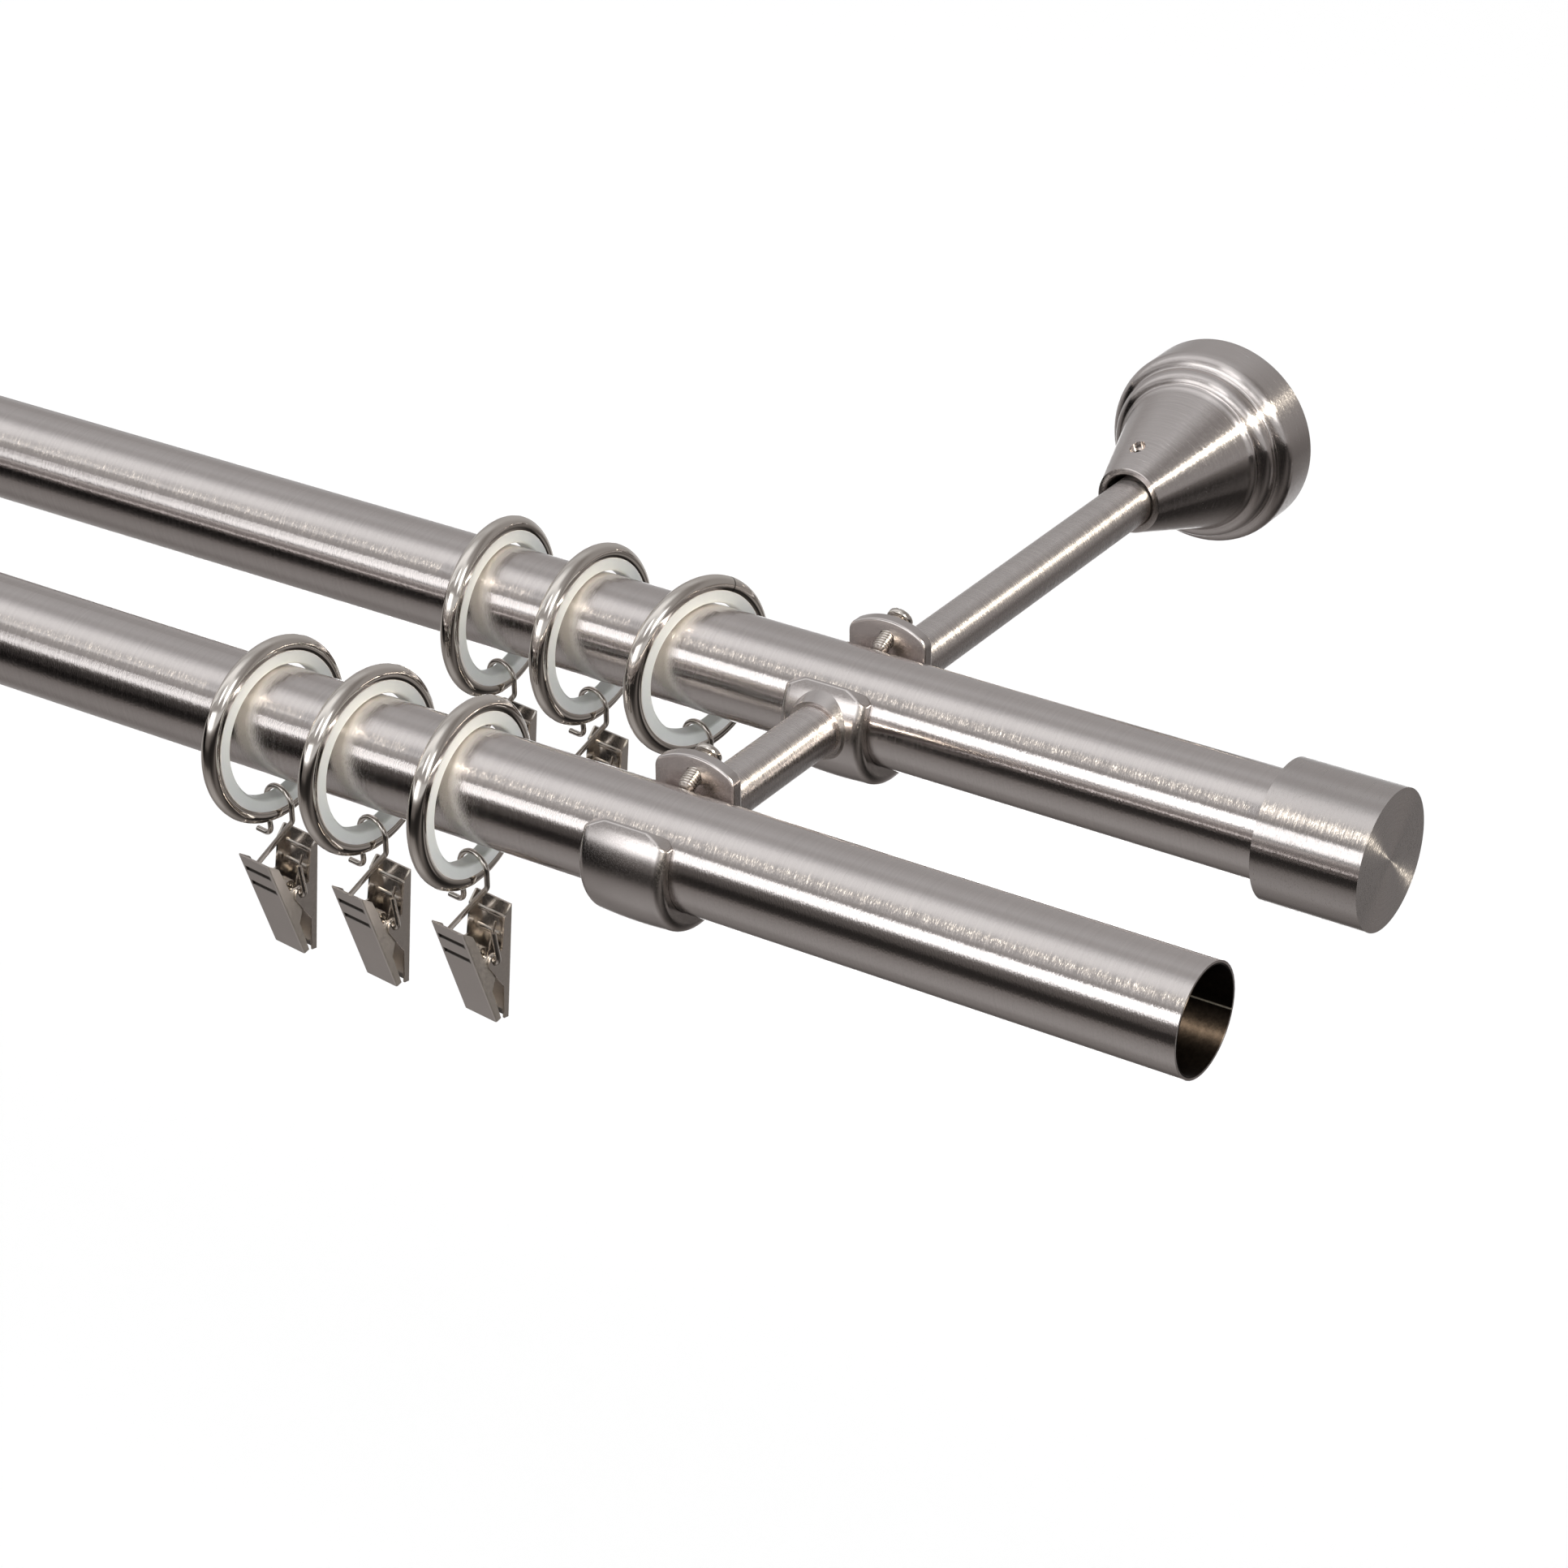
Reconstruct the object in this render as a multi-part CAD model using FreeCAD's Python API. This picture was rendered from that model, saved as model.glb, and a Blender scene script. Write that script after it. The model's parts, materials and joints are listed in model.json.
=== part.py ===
import FreeCAD, Part

import math
import os

from FreeCAD import Placement, Rotation, Vector

# Double curtain pole: two tubes on two wall brackets, with gliding clip rings.
# +X runs along the poles to the right, +Y points into the wall and +Z up.
# The origin lies on the wall, midway between the brackets, at stem height.
# All sizes are in millimetres and all angles in degrees.

# Poles
pole_radius = 12.5
pole_wall = 0.9
pole_length = 1200.0
pole_overhang = 131.0
wall_to_rear_pole = 175.0
pole_spacing = 77.5

# End caps of the rear pole
cap_radius = 16.0
cap_length = 25.0
cap_end_wall = 2.4
cap_clearance = 0.1

# Wall plate, screwed to the wall inside the rosette
plate_radius = 21.8
plate_thickness = 4.0
hub_radius = 8.8
hub_height = 9.0
screw_hole_radius = 2.25
screw_sink_radius = 4.2
screw_spread = 28.0

# Rosette, turned
rosette_radius = 25.5
rim_depth = 11.7
rim_shoulder = 2.3
step_radius = 22.0
step_start = 13.6
step_end = 17.4
step_shoulder = 2.0
cone_base_radius = 18.5
cone_start = 19.4
cone_end = 49.0
cone_tip_radius = 8.7
cone_tip_edge = 0.5
rosette_bore_radius = 6.8
rosette_clearance = 0.95
rosette_cup_depth = 6.0

# Grub screw that holds the stem in the cone
grub_radius = 2.0
grub_from_tip = 8.0
grub_angle = 12.0
grub_sink = 0.6
grub_tip_gap = 0.05
thread_clearance = 0.05
hex_socket = 2.0

# Bracket stems
stem_radius = 6.0
stem_edge = 0.4
spigot_radius = 4.0
spigot_length = 2.5
spigot_clearance = 0.05

# Cradles, cast hooks that carry the poles
cradle_width = 21.5
cradle_radius = 16.9
cradle_drop = 1.0
cradle_shift = 0.6
cradle_crown = 0.35
cradle_round = 2.4
seat_clearance = 0.05
lip_angle = 40.0
shield_radius = 17.1
lip_height = 10.6
tab_front = 13.0
tab_thickness = 3.2
tab_height = 15.0
tab_corner = 3.4
tab_edge = 0.7
tab_root = 4.0
tab_inset = 0.45
lip_edge = 0.8
boss_radius = 8.6
boss_tip_radius = 7.0
boss_end = 16.9
boss_start = 13.2

# Lock screw of a cradle, M4, through the tab onto the pole
lock_radius = 2.0
lock_tip_radius = 1.2
lock_tip_length = 0.8
lock_angle = 25.0
lock_height = 11.0
lock_head_radius = 3.1
lock_head_height = 2.2
lock_head_edge = 0.8
lock_head_gap = 0.6
lock_slot_width = 0.9
lock_slot_depth = 1.0

# Rings: closed wire rings with a plastic liner
wire_radius = 2.2
ring_radius = 20.0
liner_inner_radius = 15.9
liner_half_width = 2.1
liner_lip_radius = 19.0
liner_corner = 0.7
liner_clearance = 0.02
ring_hang_gap = 0.3

# Hooks: one bent wire each, from the ring down to the clip's pin
hook_radius = 0.65
hook_eye_gap = 0.15
eye_lift = 1.16
leg_bend = 2.0
pin_drop = 20.85
diagonal_slope = 50.5
diagonal_offset = 4.64
tail_reach = 7.9
tail_drop = 8.3
tail_corner = 3.3
tail_bend = 1.8
pin_bend = 1.5
stub_bend = 1.3
stub_length = 7.6
stub_lean = 12.0

# Clips: two stamped jaws on the hook's pin, with a spring
sheet = 0.5
jaw_low = 15.3
jaw_high = 12.8
jaw_depth = 5.05
rear_jaw_width = 11.3
jaw_side_gap = 0.15
jaw_half_angle = 12.0
flange_low = 1.6
flange_mid = 2.0
flange_high = 2.9
flange_top = 2.4
flange_slant = 2.6
ear_root = 7.0
ear_radius = 1.9
ear_top_low = 2.3
pin_clearance = 0.1
rib_radius = 0.9
rib_rise = 0.35
rib_margin = 1.2
rib_offsets = (3.9, 8.5)
fold_round = 0.4
clip_tilt = 7.0
hook_yaw = -8.0

# Clip springs, closely wound round the pin
coil_radius = 1.85
coil_wire = 0.35
coil_turns = 6
coil_groove = 0.2
spring_leg = 7.6
spring_gap = 0.15

# Rings as they hang: places along the poles, measured from the right
# bracket to the left, and the turn of each ring about the vertical
front_ring_places = (105.6, 78.7, 50.5)
front_ring_yaws = (-4.3, -3.0, 2.0)
rear_ring_places = (100.4, 73.4, 43.5)
rear_ring_yaws = (1.5, -2.3, -12.8)

# Places worked out from the sizes above
bracket_x = pole_length / 2 - pole_overhang
rear_axis_y = -wall_to_rear_pole
front_axis_y = rear_axis_y - pole_spacing
tab_back = tab_front + tab_thickness
seat_radius = pole_radius + seat_clearance
ring_drop = liner_inner_radius - pole_radius - ring_hang_gap
eye_radius = wire_radius + eye_lift + hook_eye_gap + hook_radius
front_jaw_width = rear_jaw_width - 2 * (sheet + jaw_side_gap)

X = Vector(1, 0, 0)
Y = Vector(0, 1, 0)
Z = Vector(0, 0, 1)
origin = Vector(0, 0, 0)
far = 100.0


def save(name, shape):
    if not shape.isValid():
        raise ValueError(name + " is not a valid solid")
    shape.exportStep("parts/" + name + ".step")
    print(name, round(shape.Volume, 2), len(shape.Solids), len(shape.Faces))


def moved(shape, x=0.0, y=0.0, z=0.0):
    copy = shape.copy()
    copy.translate(Vector(x, y, z))
    return copy


def turned(shape, degrees, axis, centre=origin):
    copy = shape.copy()
    copy.rotate(centre, axis, degrees)
    return copy


def mirrored(shape):
    return shape.mirror(origin, X)


def cylinder(radius, start, end):
    """A cylinder between two points."""
    axis = end - start
    return Part.makeCylinder(radius, axis.Length, start, axis)


def face_of(points):
    """A flat face with straight edges through the points."""
    return Part.Face(Part.makePolygon(points + points[:1]))


def direction(degrees):
    """A unit vector in the YZ plane, turned up from +Y."""
    angle = math.radians(degrees)
    return Vector(0, math.cos(angle), math.sin(angle))


# Poles and caps

def pole():
    half = pole_length / 2
    outer = cylinder(pole_radius, Vector(-half, 0, 0), Vector(half, 0, 0))
    bore = cylinder(pole_radius - pole_wall, Vector(-half, 0, 0), Vector(half, 0, 0))
    return outer.cut(bore)


def end_cap():
    """A turned cup over the right end of the rear pole."""
    face = pole_length / 2 + cap_end_wall
    cup = cylinder(cap_radius, Vector(face - cap_length, 0, 0), Vector(face, 0, 0))
    bore_start = Vector(face - cap_length, 0, 0)
    bore_end = Vector(pole_length / 2, 0, 0)
    return cup.cut(cylinder(pole_radius + cap_clearance, bore_start, bore_end))


# Bracket pieces, in the frame of a bracket: wall at y = 0, stem along -Y

def wall_plate():
    disc = cylinder(plate_radius, origin, Vector(0, -plate_thickness, 0))
    plate = disc.fuse(cylinder(hub_radius, origin, Vector(0, -hub_height, 0)))
    for side in (-1, 1):
        z = side * screw_spread / 2
        plate = plate.cut(cylinder(screw_hole_radius, Vector(0, 0, z), Vector(0, -plate_thickness, z)))
        sink_depth = screw_sink_radius - screw_hole_radius
        sink = Part.makeCone(screw_hole_radius, screw_sink_radius, sink_depth,
                             Vector(0, sink_depth - plate_thickness, z), -Y)
        plate = plate.cut(sink)
    hole_depth = spigot_length + spigot_clearance
    return plate.cut(cylinder(spigot_radius + spigot_clearance, Vector(0, -hub_height, 0),
                              Vector(0, hole_depth - hub_height, 0)))


def rosette_profile():
    """Half section of the rosette: radius along X, distance from the wall along -Y."""
    def at(radius, depth):
        return Vector(radius, -depth, 0)

    shoulder = rim_shoulder * (1 - math.sqrt(0.5))
    step = step_shoulder * (1 - math.sqrt(0.5))
    cup_radius = plate_radius + rosette_clearance
    socket_radius = hub_radius + rosette_clearance
    rim_corner = at(rosette_radius - rim_shoulder, rim_depth + rim_shoulder)
    step_corner = at(step_radius - step_shoulder, step_end)
    edges = [
        Part.LineSegment(at(cup_radius, 0), at(rosette_radius, 0)),
        Part.LineSegment(at(rosette_radius, 0), at(rosette_radius, rim_depth)),
        Part.Arc(at(rosette_radius, rim_depth),
                 at(rosette_radius - shoulder, rim_depth + rim_shoulder - shoulder), rim_corner),
        Part.LineSegment(rim_corner, at(step_radius, step_start)),
        Part.LineSegment(at(step_radius, step_start), at(step_radius, step_end - step_shoulder)),
        Part.Arc(at(step_radius, step_end - step_shoulder), at(step_radius - step, step_end - step),
                 step_corner),
        Part.LineSegment(step_corner, at(cone_base_radius, step_end)),
        Part.LineSegment(at(cone_base_radius, step_end), at(cone_base_radius, cone_start)),
        Part.LineSegment(at(cone_base_radius, cone_start), at(cone_tip_radius, cone_end - cone_tip_edge)),
        Part.LineSegment(at(cone_tip_radius, cone_end - cone_tip_edge),
                         at(cone_tip_radius - cone_tip_edge, cone_end)),
        Part.LineSegment(at(cone_tip_radius - cone_tip_edge, cone_end), at(rosette_bore_radius, cone_end)),
        Part.LineSegment(at(rosette_bore_radius, cone_end), at(rosette_bore_radius, hub_height)),
        Part.LineSegment(at(rosette_bore_radius, hub_height), at(socket_radius, hub_height)),
        Part.LineSegment(at(socket_radius, hub_height), at(socket_radius, rosette_cup_depth)),
        Part.LineSegment(at(socket_radius, rosette_cup_depth), at(cup_radius, rosette_cup_depth)),
        Part.LineSegment(at(cup_radius, rosette_cup_depth), at(cup_radius, 0)),
    ]
    return Part.Face(Part.Wire([edge.toShape() for edge in edges]))


def stem_offset():
    """How far the grub screw pushes the stem off the rosette's axis."""
    return rosette_bore_radius - stem_radius - 0.02


def rosette_centre():
    """The rosette's axis in the bracket frame: the stem rests on the bore's far side."""
    angle = math.radians(90 + grub_angle)
    return Vector(math.cos(angle), 0, math.sin(angle)) * stem_offset()


def grub_direction():
    """Outward along the grub screw, a little left of straight up."""
    angle = math.radians(90 + grub_angle)
    return Vector(math.cos(angle), 0, math.sin(angle))


def grub_depth():
    return cone_end - grub_from_tip


def cone_radius_at(depth):
    fall = (cone_base_radius - cone_tip_radius) / (cone_end - cone_tip_edge - cone_start)
    return cone_base_radius - (depth - cone_start) * fall


def rosette():
    body = rosette_profile().revolve(origin, Y, 360)
    start = Vector(0, -grub_depth(), 0)
    hole = cylinder(grub_radius + thread_clearance, start, start + grub_direction() * rosette_radius)
    return body.cut(hole)


def grub_screw():
    """A socket set screw between the stem and the cone's surface."""
    start = Vector(0, -grub_depth(), 0)
    inner = stem_radius - stem_offset() + grub_tip_gap
    outer = cone_radius_at(grub_depth() + grub_radius) - grub_sink
    low = start + grub_direction() * inner
    high = start + grub_direction() * outer
    screw = cylinder(grub_radius, low, high)
    socket = Part.makePolygon([
        Vector(hex_socket / math.sqrt(3) * math.cos(math.radians(60 * i)),
               hex_socket / math.sqrt(3) * math.sin(math.radians(60 * i)), 0) for i in range(7)])
    depth = (outer - inner) / 2
    prism = Part.Face(socket).extrude(Z * depth)
    prism.Placement = Placement(high - grub_direction() * depth, Rotation(Z, grub_direction()))
    return screw.cut(prism)


def stem(start_y, end_y):
    """A round bar towards the room, with a spigot at each end."""
    bar = cylinder(stem_radius, Vector(0, start_y, 0), Vector(0, end_y, 0))
    bar = bar.makeChamfer(stem_edge, [edge for edge in bar.Edges if len(edge.Vertexes) == 1])
    tip = Vector(0, end_y - spigot_length, 0)
    back = Vector(0, start_y + spigot_length, 0)
    bar = bar.fuse(cylinder(spigot_radius, Vector(0, end_y + stem_edge, 0), tip))
    return bar.fuse(cylinder(spigot_radius, Vector(0, start_y - stem_edge, 0), back))


# Cradle, with the pole's axis through the origin and the room towards -Y

def barrel():
    """The cradle's outer form: a short crowned cylinder round the pole with rounded ends."""
    half = cradle_width / 2
    flat = half - cradle_round
    end_radius = cradle_radius - cradle_crown
    corner = cradle_round * (1 - math.sqrt(0.5))
    low = end_radius - cradle_round
    left_low = Vector(-half, low, 0)
    left_high = Vector(-flat, end_radius, 0)
    right_high = Vector(flat, end_radius, 0)
    right_low = Vector(half, low, 0)
    edges = [
        Part.LineSegment(Vector(-half, 0, 0), left_low),
        Part.Arc(left_low, Vector(-half + corner, end_radius - corner, 0), left_high),
        Part.Arc(left_high, Vector(0, cradle_radius, 0), right_high),
        Part.Arc(right_high, Vector(half - corner, end_radius - corner, 0), right_low),
        Part.LineSegment(right_low, Vector(half, 0, 0)),
        Part.LineSegment(Vector(half, 0, 0), Vector(-half, 0, 0)),
    ]
    face = Part.Face(Part.Wire([edge.toShape() for edge in edges]))
    return moved(face.revolve(origin, X, 360), y=cradle_shift, z=-cradle_drop)


def tab():
    """The upright plate behind the pole, with an arched top."""
    half = cradle_width / 2 - tab_inset
    centre = tab_height - shield_radius
    side_top = centre + math.sqrt(shield_radius ** 2 - half ** 2)
    left = Vector(-half, tab_front, side_top)
    right = Vector(half, tab_front, side_top)
    foot_left = Vector(-half, tab_front, -tab_root)
    foot_right = Vector(half, tab_front, -tab_root)
    edges = [
        Part.LineSegment(foot_left, left),
        Part.Arc(left, Vector(0, tab_front, tab_height), right),
        Part.LineSegment(right, foot_right),
        Part.LineSegment(foot_right, foot_left),
    ]
    plate = Part.Face(Part.Wire([edge.toShape() for edge in edges])).extrude(Y * tab_thickness)
    corners = [edge for edge in plate.Edges
               if abs(edge.CenterOfMass.z - side_top) < 0.01 and len(edge.Vertexes) == 2
               and abs(abs(edge.CenterOfMass.x) - half) < 0.01]
    plate = plate.makeFillet(tab_corner, corners)
    rims = [edge for edge in plate.Edges
            if edge.BoundBox.YLength < 0.01 and edge.BoundBox.ZMax > side_top - 2 * tab_corner
            and edge.BoundBox.ZMax > -tab_root + 1]
    return plate.makeFillet(tab_edge, rims)


def lock_line():
    """A point on the lock screw's axis in the middle of the tab, and its outward direction."""
    return Vector(0, tab_front + tab_thickness / 2, lock_height), direction(lock_angle)


def lip_edges(body):
    """The outer edges of the lip: along the shield's arc and across its top."""
    outer = cradle_radius - cradle_round
    found = []
    for edge in body.Edges:
        middle = edge.valueAt((edge.FirstParameter + edge.LastParameter) / 2)
        reach = math.hypot(middle.y - cradle_shift, middle.z + cradle_drop)
        if middle.y < -pole_radius / 2 and middle.z > 1 and reach > outer:
            found.append(edge)
    return found


def cradle(with_boss):
    half = cradle_width / 2
    body = barrel()
    behind = Part.makeBox(cradle_width * 2, far, far, Vector(-cradle_width, tab_back, -far / 2))
    body = body.cut(behind)
    lip = direction(180 - lip_angle) * far
    opening = [origin, lip, Vector(0, lip.y, far), Vector(0, tab_front, far), Vector(0, tab_front, 0)]
    wedge = face_of([point - X * cradle_width for point in opening]).extrude(X * cradle_width * 2)
    shield = Part.makeCylinder(shield_radius, far, Vector(0, -far, lip_height - shield_radius), Y)
    rear_half = Part.makeBox(cradle_width * 2, far, far, Vector(-cradle_width, 0, -far / 2))
    body = body.cut(wedge).common(shield.fuse(rear_half))
    body = body.makeFillet(lip_edge, lip_edges(body))
    body = body.cut(Part.makeBox(cradle_width * 2, far, far, Vector(-cradle_width, tab_front, -tab_root)))
    body = body.fuse(tab())
    if with_boss:
        body = body.fuse(Part.makeCone(boss_radius, boss_tip_radius, boss_end - boss_start,
                                       Vector(0, -boss_start, 0), -Y))
    seat = cylinder(seat_radius, Vector(-half, 0, 0), Vector(half, 0, 0))
    body = body.cut(seat)
    hole_radius = spigot_radius + spigot_clearance
    hole_depth = spigot_length + spigot_clearance
    body = body.cut(cylinder(hole_radius, Vector(0, tab_back, 0), Vector(0, tab_back - hole_depth, 0)))
    if with_boss:
        body = body.cut(cylinder(hole_radius, Vector(0, -boss_end, 0), Vector(0, hole_depth - boss_end, 0)))
    middle, outward = lock_line()
    thread_hole = cylinder(lock_radius + thread_clearance, middle - outward * tab_thickness * 1.2,
                           middle + outward * tab_thickness * 1.2)
    return body.cut(thread_hole).removeSplitter()


def lock_screw():
    """A slotted pan head screw whose blunt tip presses on the pole."""
    middle, outward = lock_line()
    across = Vector(0, -outward.z, outward.y)
    edge_point = middle - across * lock_tip_radius
    reach = edge_point.dot(outward)
    reach -= math.sqrt(reach ** 2 - edge_point.dot(edge_point) + seat_radius ** 2)
    tip = middle - outward * reach
    top = middle + across * lock_head_radius
    head_start = (tab_back + lock_head_gap - top.y) / outward.y
    neck = tip + outward * lock_tip_length
    base = middle + outward * head_start
    crown = base + outward * lock_head_height
    point = Part.makeCone(lock_tip_radius, lock_radius, lock_tip_length, tip, outward)
    shank = cylinder(lock_radius, neck, base)
    head = cylinder(lock_head_radius, base, crown)
    rim = [edge for edge in head.Edges
           if len(edge.Vertexes) == 1 and (edge.CenterOfMass - crown).Length < 0.01]
    head = head.makeFillet(lock_head_edge, rim)
    screw = point.fuse(shank).fuse(head)
    slot = Part.makeBox(lock_slot_width, far, lock_slot_depth + 1,
                        Vector(-lock_slot_width / 2, -far / 2, -lock_slot_depth))
    slot.Placement = Placement(crown, Rotation(X, across, outward, "ZXY"))
    return screw.cut(slot)


# Ring pieces, in the frame of a ring: the ring's centre at the origin, its axis along X

def ring():
    return Part.makeTorus(ring_radius, wire_radius, origin, X)


def ring_liner():
    """A plastic channel along the inside of the wire."""
    groove = wire_radius + liner_clearance
    lip_half = math.sqrt(groove ** 2 - (ring_radius - liner_lip_radius) ** 2)
    inner = liner_inner_radius
    half = liner_half_width
    round_mid = liner_corner * (1 - math.sqrt(0.5))

    def at(x, radius):
        return Vector(x, radius, 0)

    edges = [
        Part.Arc(at(-lip_half, liner_lip_radius), at(0, ring_radius - groove), at(lip_half, liner_lip_radius)),
        Part.LineSegment(at(lip_half, liner_lip_radius), at(half, liner_lip_radius - 0.2)),
        Part.LineSegment(at(half, liner_lip_radius - 0.2), at(half, inner + liner_corner)),
        Part.Arc(at(half, inner + liner_corner), at(half - round_mid, inner + round_mid),
                 at(half - liner_corner, inner)),
        Part.LineSegment(at(half - liner_corner, inner), at(liner_corner - half, inner)),
        Part.Arc(at(liner_corner - half, inner), at(round_mid - half, inner + round_mid),
                 at(-half, inner + liner_corner)),
        Part.LineSegment(at(-half, inner + liner_corner), at(-half, liner_lip_radius - 0.2)),
        Part.LineSegment(at(-half, liner_lip_radius - 0.2), at(-lip_half, liner_lip_radius)),
    ]
    return Part.Face(Part.Wire([edge.toShape() for edge in edges])).revolve(origin, X, 360)


# Hook, in the frame of its eye: centre of the eye at the origin, bent in the XZ plane

def bend_piece(radius, start, centre, normal, degrees):
    """Part of a torus: a round bar bent from its start about a centre."""
    tangent = normal.cross(start - centre)
    section = Part.Face(Part.Wire([Part.makeCircle(radius, start, tangent)]))
    return section.revolve(centre, normal, degrees)


def bent_wire(corners, bends, radius):
    """A round wire through the corners, with an arc of the given radius at each inner corner."""
    pieces = []
    start = corners[0]
    for before, corner, after, bend in zip(corners, corners[1:], corners[2:], bends):
        back = (before - corner).normalize()
        ahead = (after - corner).normalize()
        half_angle = back.getAngle(ahead) / 2
        setback = bend / math.tan(half_angle)
        first = corner + back * setback
        centre = corner + (back + ahead).normalize() * (bend / math.sin(half_angle))
        normal = ahead.cross(back).normalize()
        pieces.append(cylinder(radius, start, first))
        pieces.append(bend_piece(radius, first, centre, normal, 180 - 2 * math.degrees(half_angle)))
        start = corner + ahead * setback
    pieces.append(cylinder(radius, start, corners[-1]))
    return pieces


def pin_height():
    return -pin_drop - eye_lift


def clip_middle():
    """Where the clip's middle sits on the pin: below the eye."""
    return 0.0


def clip_hook():
    """The whole hook: open tail, eye round the ring, slanting leg, pin and upturned end."""
    eye = eye_radius
    tail = Vector(-tail_reach, 0, -tail_drop - eye_lift)
    tail_turn = Vector(-tail_corner, 0, -tail_drop - eye_lift)
    reach = tail_turn.Length
    to_centre = math.atan2(-tail_turn.z, -tail_turn.x)
    tangent_angle = to_centre + math.asin(eye / reach)
    tangent_length = math.sqrt(reach ** 2 - eye ** 2)
    eye_start = tail_turn + Vector(math.cos(tangent_angle), 0, math.sin(tangent_angle)) * tangent_length
    slope = math.radians(diagonal_slope)
    down = Vector(-math.cos(slope), 0, -math.sin(slope))
    below_wire = Vector(math.sin(slope), 0, -math.cos(slope)) * diagonal_offset - Z * eye_lift
    leg_turn = below_wire + down * ((eye - below_wire.x) / down.x)
    pin_turn = below_wire + down * ((pin_height() - below_wire.z) / down.z)
    half_clip = rear_jaw_width / 2
    stub_turn = Vector(clip_middle() + half_clip + stub_bend, 0, pin_height())
    lean = math.radians(stub_lean)
    stub_end = stub_turn + Vector(-math.sin(lean), 0, math.cos(lean)) * stub_length
    pieces = bent_wire([Vector(eye, 0, 0), leg_turn, pin_turn, stub_turn, stub_end],
                       [leg_bend, pin_bend, stub_bend], hook_radius)
    pieces += bent_wire([tail, tail_turn, eye_start], [tail_bend], hook_radius)
    bow = math.degrees(math.atan2(eye_start.z, eye_start.x)) % 360
    pieces.append(bend_piece(hook_radius, Vector(eye, 0, 0), origin, Y * -1, bow))
    return pieces[0].multiFuse(pieces[1:])


# Clip jaws, in the frame of the clip: the pin through the origin along X,
# the jaw's face at y = -jaw_depth and its length along Z

def jaw_outline(x):
    """Side view of a jaw's flange, with the ear that carries the pin."""
    def at(depth, height):
        return Vector(x, depth - jaw_depth, height)

    root = at(flange_mid, -ear_root)
    to_pin = Vector(x, 0, 0) - root
    spread = math.asin(ear_radius / to_pin.Length)
    heading = math.atan2(to_pin.z, to_pin.y) - spread
    run = to_pin.Length * math.cos(spread)
    ear_low = root + Vector(0, math.cos(heading), math.sin(heading)) * run
    ear_mid = Vector(x, ear_radius * math.cos(math.radians(20)), ear_radius * math.sin(math.radians(20)))
    ear_high = Vector(x, 0, ear_radius)
    edges = [
        Part.LineSegment(at(0, -jaw_low), at(flange_low, -jaw_low)),
        Part.LineSegment(at(flange_low, -jaw_low), root),
        Part.LineSegment(root, ear_low),
        Part.Arc(ear_low, ear_mid, ear_high),
        Part.LineSegment(ear_high, at(flange_high, ear_top_low)),
        Part.LineSegment(at(flange_high, ear_top_low), at(flange_top, jaw_high - flange_slant)),
        Part.LineSegment(at(flange_top, jaw_high - flange_slant), at(sheet, jaw_high)),
        Part.LineSegment(at(sheet, jaw_high), at(0, jaw_high)),
        Part.LineSegment(at(0, jaw_high), at(0, -jaw_low)),
    ]
    return Part.Face(Part.Wire([edge.toShape() for edge in edges]))


def jaw(width):
    """A folded channel with two ears and two pressed grooves near its upper end."""
    half = width / 2
    plate = Part.makeBox(width, sheet, jaw_low + jaw_high, Vector(-half, -jaw_depth, -jaw_low))
    left = jaw_outline(-half).extrude(X * sheet)
    right = jaw_outline(half - sheet).extrude(X * sheet)
    body = plate.fuse(left).fuse(right).removeSplitter()
    folds = [edge for edge in body.Edges
             if edge.BoundBox.ZLength > jaw_low and abs(edge.CenterOfMass.y + jaw_depth) < 0.01]
    body = body.makeFillet(fold_round, folds)
    rib_half = half - rib_margin
    for offset in rib_offsets:
        height = jaw_high - offset
        inner_y = sheet + rib_rise - rib_radius - jaw_depth
        outer_y = rib_rise - rib_radius - jaw_depth
        ridge = cylinder(rib_radius, Vector(-rib_half, inner_y, height), Vector(rib_half, inner_y, height))
        proud = Part.makeBox(width, rib_radius, 4 * rib_radius,
                             Vector(-half, sheet / 2 - jaw_depth, height - 2 * rib_radius))
        groove = cylinder(rib_radius, Vector(-rib_half, outer_y, height), Vector(rib_half, outer_y, height))
        body = body.fuse(ridge.common(proud)).cut(groove)
    hole = cylinder(hook_radius + pin_clearance, Vector(-half, 0, 0), Vector(half, 0, 0))
    return body.cut(hole).removeSplitter()


def front_jaw():
    return turned(jaw(front_jaw_width), jaw_half_angle, X)


def rear_jaw():
    return turned(turned(jaw(rear_jaw_width), 180, Z), -jaw_half_angle, X)


def clip_spring():
    """A closely wound torsion spring: touching turns round the pin and two straight legs."""
    half = coil_turns * coil_wire
    crest = coil_radius + coil_wire
    valley = crest - coil_groove
    points = [Vector(-half, coil_radius - coil_wire, 0), Vector(-half, valley, 0)]
    for turn in range(coil_turns):
        left = -half + 2 * turn * coil_wire
        points.append(Vector(left + coil_wire * 0.6, crest, 0))
        points.append(Vector(left + coil_wire * 1.4, crest, 0))
        points.append(Vector(left + coil_wire * 2, valley, 0))
    points.append(Vector(half, coil_radius - coil_wire, 0))
    body = face_of(points).revolve(origin, X, 360)
    reach = jaw_depth - sheet - rib_rise - spring_gap - coil_wire
    for side in (-1, 1):
        x = side * (half - coil_wire)
        foot = Vector(x, side * coil_radius, 0)
        tip = turned_point(Vector(x, side * reach, spring_leg), -side * jaw_half_angle)
        body = body.fuse(cylinder(coil_wire, foot, tip))
    return body


def turned_point(point, degrees):
    """A point turned about the X axis."""
    angle = math.radians(degrees)
    return Vector(point.x, point.y * math.cos(angle) - point.z * math.sin(angle),
                  point.y * math.sin(angle) + point.z * math.cos(angle))


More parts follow.
